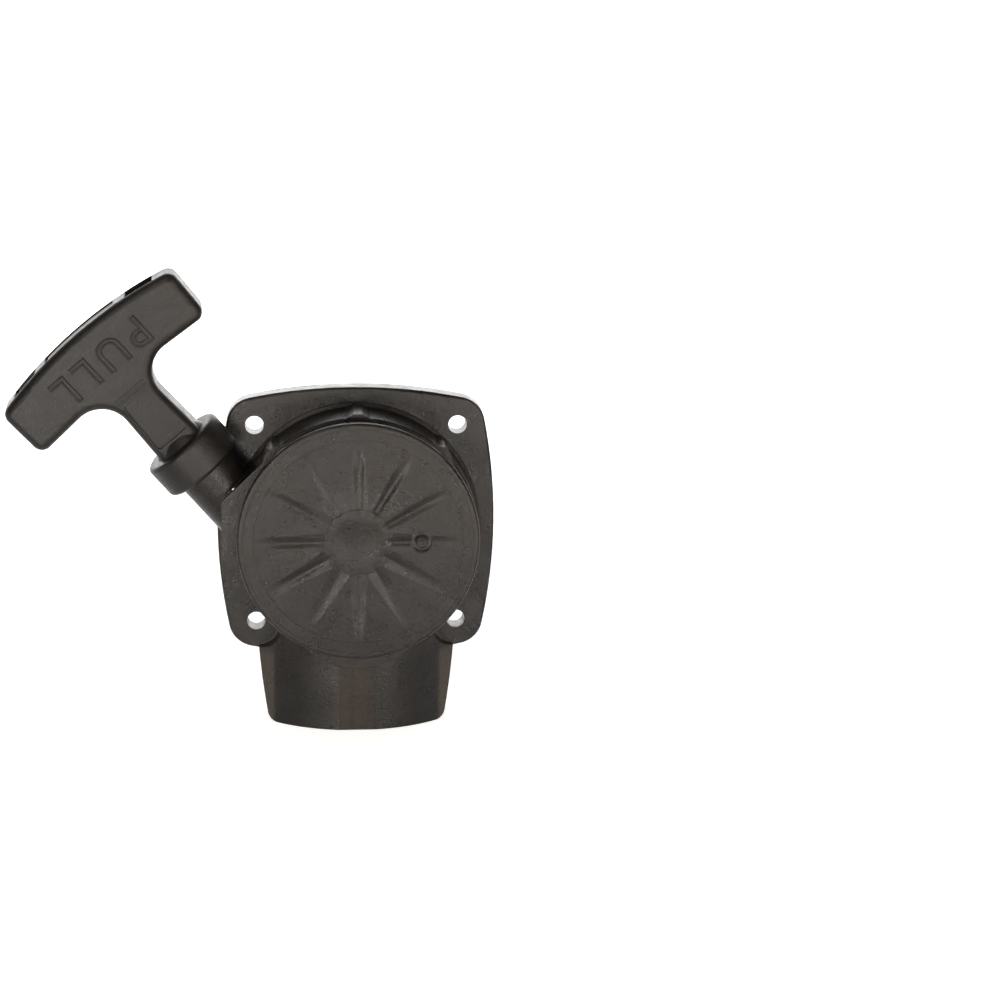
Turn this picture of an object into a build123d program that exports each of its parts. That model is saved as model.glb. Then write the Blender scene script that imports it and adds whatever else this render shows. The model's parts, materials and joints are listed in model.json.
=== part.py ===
from build123d import *
import math
import os

# Recoil starter of a brush-cutter engine, in millimetres.
#
# +Z is up and the reel's axis runs along Y. The engine is on the +Y side and the closed front
# of the case faces -Y. The origin is on the reel's axis, in the plane of the flange's mating
# face. A "depth" is a distance in front of that face, so depth 5 is at y = -5.

# ---- flange ----
bolt_pitch = 60.0
bolt_hole_radius = 2.75
flange_thickness = 7.0
flange_half_height = 41.25
flange_corner_radius = 8.2
flange_edge_round = 0.8
rim_width = 3.0
rim_pocket_depth = 1.8
rim_tab_half_width = 12.1
rim_tab_width = 4.6
lower_tab_width = 7.7
rope_side_rim = 35.3
corner_boss_radius = 5.3

# ---- drum ----
drum_radius = 35.2
drum_depth = 30.5
drum_edge_round = 0.9
lip_depth = 28.6
waist_radius = 34.5
shoulder_radius = 35.5
shoulder_depth = 24.0
lug_height = 1.1
lug_half_width = 5.2
lug_top_half_width = 1.2
foot_radius = 36.9
foot_height = 1.0
front_wall = 2.6
bore_radius = 33.0
bore_mouth_radius = 34.7

# ---- front face of the drum ----
rim_step_radius = 33.4
rim_step_depth = 0.3
dish_radius = 30.3
dish_depth = 0.6
sink_count = 12
sink_start_radius = 9.5
sink_end_radius = 29.3
sink_depth = 0.34
sink_round = 12.0
centre_ring_half_width = 3.0
centre_ring_half_height = 4.2
centre_ring_wall = 0.8
gate_distance = 18.3
gate_radius = 3.1

# ---- rope chamber and rope tube ----
chamber_half_width = 39.5
chamber_wall = 2.0
pull_angle = 49.4
pull_lean = 4.0
tube_offset = 21.6
tube_radius = 9.0
tube_start = 24.0
tube_end = 48.6
tube_bore_radius = 4.0

# ---- skirt under the drum ----
skirt_bottom = -60.0
skirt_top = -27.0
skirt_top_half_width = 29.75
skirt_bottom_half_width = 26.25
skirt_side_depth = 8.5
skirt_cheek_width = 4.8
skirt_cheek_depth = 12.8
skirt_front_depth = 22.0
skirt_wall = 2.1
skirt_floor = 1.8
scallop_radius = 7.6
chin_radius = 21.7
chin_centre = -18.4
skirt_flat_depth = 21.6
peg_radius = 1.3

# ---- nut block in the skirt ----
nut_width = 8.0
nut_height = 4.6
nut_hole_radius = 2.1
nut_centre_depth = 10.0
nut_centre_height = -53.0
nut_clearance = 0.3
tank_bolt_radius = 2.75

# ---- post, screw and washer ----
post_radius = 6.0
post_end_depth = 8.4
insert_radius = 4.0
insert_length = 12.0
thread_radius = 3.0
washer_radius = 9.0
washer_thickness = 1.6
head_radius = 6.0
head_height = 3.6
screw_length = 16.0

# ---- reel ----
reel_radius = 31.0
reel_rear_depth = 7.4
reel_wall = 1.6
groove_width = 6.4
groove_core_radius = 19.0
reel_bore_radius = 6.06
reel_play = 0.2
hub_radius = 9.5
ratchet_inner_radius = 10.1
ratchet_outer_radius = 12.2
ratchet_height = 4.4
ear_tip_radius = 17.4
ear_angle = 129.3
ear_half_angle = 20.0
ear_hole_radius = 1.6
ear_hole_distance = 14.0
rope_notch_angle = 218.7
knot_pocket_radius = 14.25
knot_pocket_width = 5.5
knot_pocket_depth = 10.2

# ---- recoil spring ----
spring_width = 6.5
spring_strip = 0.5
spring_pitch = 1.1
spring_inner_radius = 10.6
spring_half_turns = 24
spring_depth = 18.2
spring_ring_radius = 25.2
spring_ring_wall = 1.8

# ---- rope ----
rope_radius = 1.5
rope_layer_step = 2.8
rope_first_layer_radius = 20.6
rope_layers = 3
rope_run_radius = 29.3
rope_leave_angle = 204.2
rope_start_angle = 262.0
rope_bend_radius = 15.0

# ---- handle, measured along the pull direction from the tube's foot point ----
collar_start = 43.3
collar_end = 53.9
collar_radius = 12.5
collar_gap = 0.6
cup_radius = 9.75
cup_floor = 49.9
stem_half_width = 7.4
stem_top_half_width = 6.2
bar_bottom = 79.4
bar_end_bottom = 77.8
bar_top = 97.7
bar_half_length = 32.0
bar_half_thickness = 6.4
bar_end_lean = 0.6
bar_top_drop = 3.8
bar_stem_round = 9.0
bar_corner_round = 3.2
slot_half_thickness = 4.0
slot_floor = 84.9
centre_slot_half_length = 12.85
slot_land = 4.1
end_slot_length = 9.0
rope_hole_radius = 2.1
knot_radius = 3.4
handle_edge_round = 2.6
collar_round = 1.4
panel_start = 57.0
panel_end = 73.2
panel_half_width = 5.3
panel_top_half_width = 4.5
panel_depth = 1.0
ridge_height = 0.3
ridge_width = 0.6
ridge_pitch = 1.3
cap_half_length = 12.4
cap_half_thickness = 3.5
cap_top = 97.3
cap_bottom = 92.9
cap_drop = 0.6

bolt_reach = bolt_pitch / 2
inner_front = drum_depth - front_wall
groove_start = reel_rear_depth + reel_wall
groove_end = groove_start + groove_width
reel_front_depth = groove_end + reel_wall
groove_middle = (groove_start + groove_end) / 2
hub_end_depth = inner_front - 0.4
hub_face_depth = post_end_depth + reel_play
washer_depth = post_end_depth - washer_thickness

# The pull direction points up and to the left, seen from the front, and leans forwards. The
# across direction is square to it, along the handle's bar, and the face direction is square to
# both, out of the handle's front.
turn = math.radians(pull_angle)
lean = math.radians(pull_lean)
pull_flat = Vector(-math.cos(turn), 0, math.sin(turn))
pull_direction = pull_flat * math.cos(lean) + Vector(0, -math.sin(lean), 0)
across_direction = Vector(math.sin(turn), 0, math.cos(turn))
face_direction = across_direction.cross(pull_direction)

# The rope leaves the reel along a tangent in the middle of the groove, and bends into the tube
# where the tangent meets the tube's axis. The foot point is the axis's nearest to the reel's.
leave_turn = math.radians(rope_leave_angle)
leave_point = Vector(math.cos(leave_turn), 0, math.sin(leave_turn)) * rope_run_radius
leave_point += Vector(0, -groove_middle, 0)
leave_direction = Vector(math.sin(leave_turn), 0, -math.cos(leave_turn))
tangent_length = (-tube_offset - leave_point.dot(across_direction)) / leave_direction.dot(across_direction)
bend_point = leave_point + leave_direction * tangent_length
bend_reach = bend_point.dot(pull_flat) / math.cos(lean)
foot_point = bend_point - pull_direction * bend_reach
pull_axis = Axis(foot_point, pull_direction)
face_axis = Axis(foot_point, face_direction)

end_slot_middle = centre_slot_half_length + slot_land + end_slot_length / 2

# Sketches on this plane have x across the handle's bar and y along the pull direction.
handle_plane = Plane(origin=foot_point, x_dir=across_direction, z_dir=face_direction)

os.makedirs("parts", exist_ok=True)


def front_plane(depth):
    """Plane parallel to the mating face, seen from the front; extrudes run forwards."""
    return Plane.XZ.offset(depth)


def pull_plane(distance):
    """Plane square to the rope tube; extrudes run outwards along the pull direction."""
    return Plane(
        origin=foot_point + pull_direction * distance,
        x_dir=across_direction,
        z_dir=pull_direction,
    )


def polar(radius, degrees):
    """Point at a radius and an angle, seen from the front."""
    turn = math.radians(degrees)
    return (radius * math.cos(turn), radius * math.sin(turn))


def save(builder, name):
    """Label a finished piece and write it to its own file."""
    builder.part.label = name
    export_step(builder.part, f"parts/{name}.step")


def bowed_square(inset):
    """Flange outline shrunk by inset: four shallow arcs, tangent to round corners."""
    full_bow = (
        bolt_reach**2
        + (flange_half_height - bolt_reach) ** 2
        - flange_corner_radius**2
    ) / (2 * (flange_half_height - bolt_reach - flange_corner_radius))
    bow = full_bow - inset
    middle = flange_half_height - inset
    drop = bow - middle
    corner = (math.sqrt(2 * bow**2 - drop**2) - drop) / 2
    corners = [(corner, corner), (-corner, corner), (-corner, -corner), (corner, -corner)]
    middles = [(0, middle), (-middle, 0), (0, -middle), (middle, 0)]
    with BuildSketch() as outline:
        with BuildLine():
            for index in range(4):
                ThreePointArc(corners[index], middles[index], corners[(index + 1) % 4])
        make_face()
        fillet(outline.vertices(), flange_corner_radius - inset)
    return outline.sketch


def skirt_solid(inset, floor_inset):
    """Skirt shape shrunk by inset: bulged at the front, tapered and bowed at the sides."""
    top_width = skirt_top_half_width - inset
    bottom_width = skirt_bottom_half_width - inset
    cheek_width = top_width - skirt_cheek_width + inset / 2
    side_depth = skirt_side_depth - inset / 2
    cheek_depth = skirt_cheek_depth - inset
    bottom = skirt_bottom + floor_inset
    middle_height = (skirt_top + bottom) / 2
    middle_width = (top_width + bottom_width) / 2 + 0.7
    with BuildPart() as skirt:
        with BuildSketch(Plane.XY.offset(bottom)) as plan:
            with BuildLine():
                Polyline(
                    (cheek_width, -cheek_depth),
                    (top_width, -side_depth),
                    (top_width, 0),
                    (-top_width, 0),
                    (-top_width, -side_depth),
                    (-cheek_width, -cheek_depth),
                )
                ThreePointArc(
                    (-cheek_width, -cheek_depth),
                    (0, inset - skirt_front_depth),
                    (cheek_width, -cheek_depth),
                )
            make_face()
            fillet(plan.vertices().filter_by(lambda corner: corner.Y < -1), 1.5)
        extrude(amount=skirt_top - bottom)
        with BuildSketch(front_plane(0)) as face:
            with BuildLine():
                Line((-bottom_width, bottom), (bottom_width, bottom))
                ThreePointArc((bottom_width, bottom), (middle_width, middle_height), (top_width, skirt_top))
                Line((top_width, skirt_top), (-top_width, skirt_top))
                ThreePointArc((-top_width, skirt_top), (-middle_width, middle_height), (-bottom_width, bottom))
            make_face()
            fillet(face.vertices().sort_by(Axis.Y)[0:2], 3.0 - inset / 2)
        extrude(amount=skirt_front_depth + 1, mode=Mode.INTERSECT)
    return skirt.part


flange_shape = bowed_square(0)
rim_inner_shape = bowed_square(rim_width)
skirt_outside = skirt_solid(0, 0)
skirt_inside = skirt_solid(skirt_wall, skirt_floor)

# The skirt's cavity ends at the flange's lower rim, all the way to the front.
with BuildPart() as skirt_cavity:
    add(skirt_inside)
    with BuildSketch(front_plane(-1)):
        add(flange_shape)
    extrude(amount=drum_depth + 2, mode=Mode.SUBTRACT)

# ------------------------------------------------------------------ starter case
with BuildPart() as starter_case:
    # Flange plate with a rounded front edge.
    with BuildSketch(front_plane(0)):
        add(flange_shape)
    extrude(amount=flange_thickness)
    fillet(starter_case.faces().sort_by(Axis.Y)[0].edges(), flange_edge_round)

    # Relief in the flange's front, under the handle's collar.
    with BuildSketch(pull_plane(collar_start - collar_gap)):
        Circle(collar_radius + collar_gap)
    extrude(amount=40, mode=Mode.SUBTRACT)

    # Drum: a foot on the flange, a wide shoulder and the narrower front disc.
    with BuildSketch(Plane.XY):
        with BuildLine():
            Polyline(
                (0, -1),
                (foot_radius, -1),
                (foot_radius, -flange_thickness - foot_height),
                (shoulder_radius + 0.3, -flange_thickness - foot_height - 0.6),
                (shoulder_radius, 0.5 - shoulder_depth),
                (shoulder_radius - 0.5, -shoulder_depth),
                (waist_radius, -shoulder_depth),
                (waist_radius, 0.4 - lip_depth),
                (drum_radius, -lip_depth),
                (drum_radius, -drum_depth),
                (0, -drum_depth),
                close=True,
            )
        make_face()
    revolve(axis=Axis.Y)
    fillet(starter_case.faces().sort_by(Axis.Y)[0].edges(), drum_edge_round)

    # Three low lugs along the upper half of the shoulder.
    with BuildSketch(front_plane(flange_thickness - 1)):
        for lug_angle in (45, 90, 135):
            with BuildLine(Plane.XY.rotated((0, 0, lug_angle))):
                Polyline(
                    (shoulder_radius - 1, -lug_half_width),
                    (shoulder_radius + lug_height, -lug_top_half_width),
                    (shoulder_radius + lug_height, lug_top_half_width),
                    (shoulder_radius - 1, lug_half_width),
                    close=True,
                )
            make_face()
    extrude(amount=shoulder_depth - flange_thickness + 1)

    # Rope chamber: a wedge on the left of the drum, as deep as the shoulder.
    with BuildSketch(front_plane(1)) as wedge:
        with BuildLine():
            Polyline(
                (-24.5, 25.3),
                (-chamber_half_width, 10.8),
                (-chamber_half_width, -5.6),
                (-28.4, -20.8),
                (0, 0),
                close=True,
            )
        make_face()
        fillet(wedge.vertices().sort_by(Axis.X)[0:2], 1.2)
    extrude(amount=shoulder_depth - 1)

    # Rope tube, and the round chin that carries the drum onto the skirt.
    with BuildSketch(pull_plane(tube_start)):
        Circle(tube_radius)
    extrude(amount=tube_end - tube_start)
    with BuildSketch(front_plane(1)):
        with Locations((0, chin_centre)):
            Circle(chin_radius)
    extrude(amount=shoulder_depth - 1)

    # Skirt, cut away around the two lower bolts.
    add(skirt_outside)
    with BuildSketch(front_plane(flange_thickness)):
        with Locations((-bolt_reach, -bolt_reach), (bolt_reach, -bolt_reach)):
            Circle(scallop_radius)
        Circle(shoulder_radius, mode=Mode.SUBTRACT)
    extrude(amount=drum_depth, mode=Mode.SUBTRACT)

    # Narrow flat down the middle of the skirt's bulged front.
    with BuildSketch(front_plane(skirt_flat_depth)):
        with Locations((0, -51)):
            Rectangle(24, 21)
    extrude(amount=3, mode=Mode.SUBTRACT)

    # Front face: a raised rim, a shallow dish, twelve sink lines over the inner ribs, a ring and a gate mark.
    for step_radius, step_depth in ((rim_step_radius, rim_step_depth), (dish_radius, dish_depth)):
        with BuildSketch(front_plane(drum_depth - step_depth)):
            Circle(step_radius)
        extrude(amount=step_depth + 1, mode=Mode.SUBTRACT)
    sink_centre_depth = drum_depth - dish_depth - sink_depth + sink_round
    sink_slope = 0.9 * sink_depth / (sink_end_radius - sink_start_radius)
    for index in range(sink_count):
        sink_x, sink_z = polar(sink_start_radius, index * 360 / sink_count)
        sink_heading = (sink_x / sink_start_radius, -sink_slope, sink_z / sink_start_radius)
        with BuildSketch(Plane(origin=(sink_x, -sink_centre_depth, sink_z), z_dir=sink_heading)):
            Circle(sink_round)
        extrude(amount=sink_end_radius - sink_start_radius, mode=Mode.SUBTRACT)
    with BuildSketch(front_plane(drum_depth - dish_depth - 0.3)):
        with Locations((1.9, 0.3)):
            Ellipse(centre_ring_half_width, centre_ring_half_height)
            Ellipse(
                centre_ring_half_width - centre_ring_wall,
                centre_ring_half_height - centre_ring_wall,
                mode=Mode.SUBTRACT,
            )
    extrude(amount=0.45)
    with BuildSketch(front_plane(drum_depth - dish_depth - 0.6)):
        with Locations((gate_distance, 0)):
            Circle(gate_radius)
    extrude(amount=1, mode=Mode.SUBTRACT)
    with BuildSketch(front_plane(drum_depth - dish_depth - 1)):
        with Locations((gate_distance, 0)):
            Circle(1.3)
    extrude(amount=1.2)

    # Main bore behind the reel, with a tapered mouth.
    with BuildSketch(Plane.XY):
        with BuildLine():
            Polyline(
                (0, 1),
                (bore_mouth_radius, 1),
                (bore_mouth_radius, -rim_pocket_depth),
                (bore_radius, -rim_pocket_depth - 1.7),
                (bore_radius, -reel_front_depth),
                (bore_radius - 0.5, -reel_front_depth - 0.5),
                (bore_radius - 0.5, -inner_front),
                (0, -inner_front),
                close=True,
            )
        make_face()
    revolve(axis=Axis.Y, mode=Mode.SUBTRACT)

    # Inside of the rope chamber, open to the bore and to the engine side.
    with BuildSketch(front_plane(-1)):
        with BuildLine():
            Polyline((-20.5, 23.3), (-37.4, 13.4), (-37.4, -5.9), (-21.2, -26.2), (0, 0), close=True)
        make_face()
    extrude(amount=shoulder_depth - chamber_wall + 1, mode=Mode.SUBTRACT)

    # Bore of the rope tube, widened at its end for the bush.
    with BuildSketch(pull_plane(tube_start)):
        Circle(tube_bore_radius)
    extrude(amount=tube_end - tube_start, mode=Mode.SUBTRACT)
    with BuildSketch(pull_plane(tube_end - 8)):
        Circle(5)
    extrude(amount=8, mode=Mode.SUBTRACT)

    # Shallow pockets in the mating face; the rim, four tabs and the bolt bosses stay proud.
    with BuildSketch(front_plane(0)):
        add(rim_inner_shape)
        with GridLocations(bolt_pitch, bolt_pitch, 2, 2):
            Circle(corner_boss_radius, mode=Mode.SUBTRACT)
        for side in (0, 90):
            tab_x, tab_z = polar(flange_half_height - rim_tab_width / 2, side)
            with Locations(Location((tab_x, tab_z), side)):
                Rectangle(rim_tab_width, 2 * rim_tab_half_width, mode=Mode.SUBTRACT)
        with Locations((0, lower_tab_width / 2 - flange_half_height)):
            Rectangle(2 * rim_tab_half_width, lower_tab_width, mode=Mode.SUBTRACT)
        with BuildLine():
            Polyline((-42, 24.2), (-rope_side_rim, 24.2), (-rope_side_rim, 12.6), (-42, 12.6), close=True)
        make_face(mode=Mode.SUBTRACT)
        with BuildLine():
            Polyline((-42, -15.5), (-rope_side_rim, -15.5), (-rope_side_rim, -27), (-42, -27), close=True)
        make_face(mode=Mode.SUBTRACT)
    extrude(amount=rim_pocket_depth, mode=Mode.SUBTRACT)

    # Two deeper pockets below the bore, one each side of the lower tab; they are deepest
    # between the bore and the rim, away from the bolts.
    with BuildSketch(front_plane(0)):
        with BuildLine():
            Polyline((-21, -26), (-26, -34), (-24.5, -37.2), (24.5, -37.2), (26, -34), (21, -26), close=True)
        make_face()
        with Locations((0, lower_tab_width / 2 - flange_half_height)):
            Rectangle(2 * rim_tab_half_width, lower_tab_width, mode=Mode.SUBTRACT)
    extrude(amount=3.5, mode=Mode.SUBTRACT)
    with BuildSketch(front_plane(0)):
        Rectangle(38.0, 36.4, align=(Align.CENTER, Align.MAX))
        with Locations((0, lower_tab_width / 2 - flange_half_height)):
            Rectangle(2 * rim_tab_half_width, lower_tab_width, mode=Mode.SUBTRACT)
    extrude(amount=14, mode=Mode.SUBTRACT)
    with BuildSketch(front_plane(5.5)):
        with Locations((-16.4, -29.4), (16.4, -29.4)):
            Circle(peg_radius)
    extrude(amount=9)

    # Skirt cavity, open to the engine side, below the flange's lower rim.
    add(skirt_cavity.part, mode=Mode.SUBTRACT)

    # Nut block: two thin ribs above it, a slot from above and a pocket for the square nut.
    block_depth = skirt_front_depth - 2.2
    with BuildSketch(front_plane(0)):
        with Locations((-9.25, -44.0), (9.25, -44.0)):
            Rectangle(1.4, 9.0)
    extrude(amount=block_depth)
    with BuildSketch(front_plane(0.4)):
        with Locations((0, -53.3)):
            Rectangle(20.0, 10.6)
    extrude(amount=block_depth - 0.4)
    with BuildSketch(front_plane(0)):
        with Locations((0, nut_centre_height)):
            Rectangle(nut_width + 2 * nut_clearance, nut_height + 2 * nut_clearance)
        with Locations((0, -49.2)):
            Rectangle(6.9, 3.0)
    extrude(amount=nut_centre_depth + nut_width / 2 + nut_clearance, mode=Mode.SUBTRACT)
    with BuildSketch(Plane.XY.offset(skirt_bottom)):
        with Locations((0, -nut_centre_depth)):
            Circle(tank_bolt_radius)
    extrude(amount=nut_centre_height - skirt_bottom, mode=Mode.SUBTRACT)

    # Centre post for the reel, with a blind hole for the threaded insert.
    with BuildSketch(front_plane(post_end_depth)):
        Circle(post_radius)
    extrude(amount=inner_front - post_end_depth + 0.5)
    with BuildSketch(front_plane(post_end_depth)):
        Circle(insert_radius)
    extrude(amount=insert_length, mode=Mode.SUBTRACT)
    with BuildSketch(front_plane(post_end_depth)):
        Circle(thread_radius)
    extrude(amount=screw_length + 2, mode=Mode.SUBTRACT)

    # Ring wall round the spring, with a slot for the spring's outer hook.
    with BuildSketch(front_plane(reel_front_depth + 0.5)):
        Circle(spring_ring_radius + spring_ring_wall)
        Circle(spring_ring_radius, mode=Mode.SUBTRACT)
        with Locations((spring_ring_radius + spring_ring_wall / 2, 0)):
            Rectangle(4, 3, mode=Mode.SUBTRACT)
    extrude(amount=inner_front - reel_front_depth)

    # Twelve ribs on the inside of the front wall; the spring lies on them.
    with BuildSketch(front_plane(spring_depth + spring_width + 0.3)):
        with PolarLocations(0, sink_count):
            with Locations((19.5, 0)):
                Rectangle(17.0, 1.6)
    extrude(amount=inner_front - spring_depth - spring_width)

    # Bolt holes through the flange.
    with BuildSketch(front_plane(-1)):
        with GridLocations(bolt_pitch, bolt_pitch, 2, 2):
            Circle(bolt_hole_radius)
    extrude(amount=flange_thickness + 2, mode=Mode.SUBTRACT)
save(starter_case, "starter_case")

# ------------------------------------------------------------------ threaded insert in the post
with BuildPart() as post_insert:
    with BuildSketch(front_plane(post_end_depth)):
        Circle(insert_radius)
        Circle(thread_radius, mode=Mode.SUBTRACT)
    extrude(amount=insert_length)
    chamfer(post_insert.faces().sort_by(Axis.Y)[-1].edges().sort_by(SortBy.RADIUS)[0], 0.4)
save(post_insert, "post_insert")

# ------------------------------------------------------------------ bush at the end of the tube
with BuildPart() as rope_bush:
    with BuildSketch(pull_plane(tube_end - 8)):
        Circle(5)
    extrude(amount=8)
    with BuildSketch(pull_plane(tube_end)):
        Circle(8)
    extrude(amount=1)
    fillet(rope_bush.faces().sort_by(pull_axis)[-1].edges(), 0.4)
    with BuildSketch(pull_plane(tube_end - 8)):
        Circle(2.1)
    extrude(amount=9, mode=Mode.SUBTRACT)
save(rope_bush, "rope_bush")

# ------------------------------------------------------------------ square nut in the skirt
with BuildPart() as tank_nut:
    with BuildSketch(Plane.XY.offset(nut_centre_height - nut_height / 2)):
        with Locations((0, -nut_centre_depth)):
            Rectangle(nut_width, nut_width)
    extrude(amount=nut_height)
    fillet(tank_nut.edges().filter_by(Axis.Z), 0.5)
    chamfer(tank_nut.faces().sort_by(Axis.Z)[-1].edges(), 0.35)
    with BuildSketch(Plane.XY.offset(nut_centre_height - nut_height / 2)):
        with Locations((0, -nut_centre_depth)):
            Circle(nut_hole_radius)
    extrude(amount=nut_height, mode=Mode.SUBTRACT)
save(tank_nut, "tank_nut")

# ------------------------------------------------------------------ rope reel
with BuildPart() as reel:
    with BuildSketch(Plane.XY):
        with BuildLine():
            Polyline(
                (reel_bore_radius, -hub_face_depth),
                (ratchet_inner_radius, -hub_face_depth),
                (ratchet_inner_radius, ratchet_height - reel_rear_depth),
                (ratchet_outer_radius, ratchet_height - reel_rear_depth),
                (ratchet_outer_radius, -reel_rear_depth),
                (reel_radius - 0.4, -reel_rear_depth),
                (reel_radius, -reel_rear_depth - 0.4),
                (reel_radius, -groove_start + 0.3),
                (reel_radius - 0.6, -groove_start),
                (groove_core_radius, -groove_start - 0.1),
                (groove_core_radius, -groove_end + 0.1),
                (reel_radius - 0.6, -groove_end),
                (reel_radius, -groove_end - 0.3),
                (reel_radius, -reel_front_depth),
                (knot_pocket_radius + knot_pocket_width / 2, -reel_front_depth),
                (knot_pocket_radius + knot_pocket_width / 2, -knot_pocket_depth),
                (knot_pocket_radius - knot_pocket_width / 2, -knot_pocket_depth),
                (knot_pocket_radius - knot_pocket_width / 2, -reel_front_depth),
                (hub_radius, -reel_front_depth),
                (hub_radius, -hub_end_depth),
                (reel_bore_radius, -hub_end_depth),
                close=True,
            )
        make_face()
    revolve(axis=Axis.Y)

    # Two eared lugs on the ratchet ring, each with a hole; the engine's pawls drive on them.
    with BuildSketch(front_plane(reel_rear_depth - ratchet_height)):
        for side in (0, 180):
            middle = ear_angle + side
            first = middle - ear_half_angle
            last = middle + ear_half_angle
            with BuildLine():
                Line(polar(11.5, first + 3), polar(16.0, first))
                ThreePointArc(polar(16.0, first), polar(ear_tip_radius, middle), polar(16.0, last))
                Line(polar(16.0, last), polar(11.5, last - 3))
                ThreePointArc(polar(11.5, last - 3), polar(11.5, middle), polar(11.5, first + 3))
            make_face()
    extrude(amount=ratchet_height)
    with BuildSketch(front_plane(reel_rear_depth - ratchet_height)):
        with Locations(polar(ear_hole_distance, ear_angle), polar(ear_hole_distance, ear_angle + 180)):
            Circle(ear_hole_radius)
    extrude(amount=ratchet_height + reel_wall, mode=Mode.SUBTRACT)

    # Notch in the rear rim, for winding the reel by the rope.
    notch_turn = Location(polar(27.5, rope_notch_angle), rope_notch_angle)
    with BuildSketch(front_plane(reel_rear_depth)):
        with Locations(notch_turn):
            SlotOverall(9.0, 2.6)
    extrude(amount=reel_wall + 0.3, mode=Mode.SUBTRACT)

    # Radial hole for the rope's inner end, and a slot in the hub for the spring's inner hook.
    with BuildSketch(Plane(origin=(knot_pocket_radius, -groove_middle, 0), z_dir=(1, 0, 0))):
        Circle(rope_radius + 0.2)
    extrude(amount=groove_core_radius - knot_pocket_radius + 1, mode=Mode.SUBTRACT)
    with BuildSketch(front_plane(spring_depth - 0.5)):
        with Locations((-hub_radius, 0)):
            Rectangle(3.4, 1.6)
    extrude(amount=hub_end_depth - spring_depth + 0.5, mode=Mode.SUBTRACT)
save(reel, "reel")

# ------------------------------------------------------------------ recoil spring
with BuildPart() as recoil_spring:
    with BuildSketch(front_plane(spring_depth)):
        with BuildLine():
            # A spiral of half circles; the radius grows by half a pitch each half turn.
            ends = []
            for edge_offset in (spring_strip / 2, -spring_strip / 2):
                radius = spring_inner_radius + edge_offset
                centre = 0.0
                angle = 180
                for index in range(spring_half_turns):
                    start = centre + radius * math.cos(math.radians(angle))
                    if index == 0:
                        ends.append((start, 0))
                    side = 1 if angle == 180 else -1
                    peak = (centre, side * radius)
                    finish = centre - radius * math.cos(math.radians(angle))
                    ThreePointArc((start, 0), peak, (finish, 0))
                    centre = finish - math.copysign(radius + spring_pitch / 2, finish)
                    radius = radius + spring_pitch / 2
                    angle = 0 if angle == 180 else 180
                ends.append((finish, 0))
            Line(ends[0], ends[2])
            Line(ends[1], ends[3])
        make_face()
    extrude(amount=spring_width)
save(recoil_spring, "recoil_spring")

# ------------------------------------------------------------------ washer and screw of the reel
with BuildPart() as reel_washer:
    with BuildSketch(front_plane(washer_depth)):
        Circle(washer_radius)
        Circle(thread_radius + 0.2, mode=Mode.SUBTRACT)
    extrude(amount=washer_thickness)
    chamfer(reel_washer.edges().filter_by(GeomType.CIRCLE).sort_by(SortBy.RADIUS)[-2:], 0.25)
save(reel_washer, "reel_washer")

with BuildPart() as reel_screw:
    with BuildSketch(Plane.XY):
        with BuildLine():
            Polyline((0, 0.6 + head_height - washer_depth - 1.0), (0, -washer_depth), (head_radius, -washer_depth))
            Line((head_radius, -washer_depth), (head_radius, 1.4 - washer_depth))
            ThreePointArc(
                (head_radius, 1.4 - washer_depth),
                (head_radius - 1.5, 2.9 - washer_depth),
                (0, 0.6 + head_height - washer_depth - 1.0),
            )
        make_face()
    revolve(axis=Axis.Y)
    with BuildSketch(front_plane(washer_depth)):
        Circle(thread_radius - 0.05)
    extrude(amount=screw_length)
    chamfer(reel_screw.faces().sort_by(Axis.Y)[0].edges(), 0.8)
    # Cross recess, tapered towards its floor.
    with BuildSketch(front_plane(washer_depth - head_height)):
        with Locations(Location((0, 0), 8)):
            Rectangle(7.0, 1.3)
            Rectangle(1.3, 7.0)
    extrude(amount=3.0, taper=12, mode=Mode.SUBTRACT)
save(reel_screw, "reel_screw")

# ------------------------------------------------------------------ rope
with BuildPart() as rope_wound:
    row_depths = (groove_start + 0.25 + rope_radius, groove_end - 0.25 - rope_radius)
    with BuildSketch(Plane.XY):
        for layer in range(rope_layers):
            layer_radius = rope_first_layer_radius + layer * rope_layer_step
            with Locations(*[(layer_radius, -row_depth) for row_depth in row_depths]):
                Circle(rope_radius + 0.02)
        with Locations((rope_first_layer_radius + rope_layer_step, -sum(row_depths) / 2)):
            Rectangle((rope_layers - 1) * rope_layer_step, row_depths[1] - row_depths[0])
    revolve(axis=Axis.Y)
save(rope_wound, "rope_wound")

with BuildPart() as rope_knot_reel:
    with BuildSketch(Plane(origin=(knot_pocket_radius, -groove_middle, 0), z_dir=(1, 0, 0))):
        Circle(rope_radius - 0.05)
    extrude(amount=rope_first_layer_radius - rope_radius - knot_pocket_radius - 0.1)
    with Locations((knot_pocket_radius, -groove_middle - 0.6, 0)):
        Sphere(2.2, rotation=(0, 90, 0))
save(rope_knot_reel, "rope_knot_reel")

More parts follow.
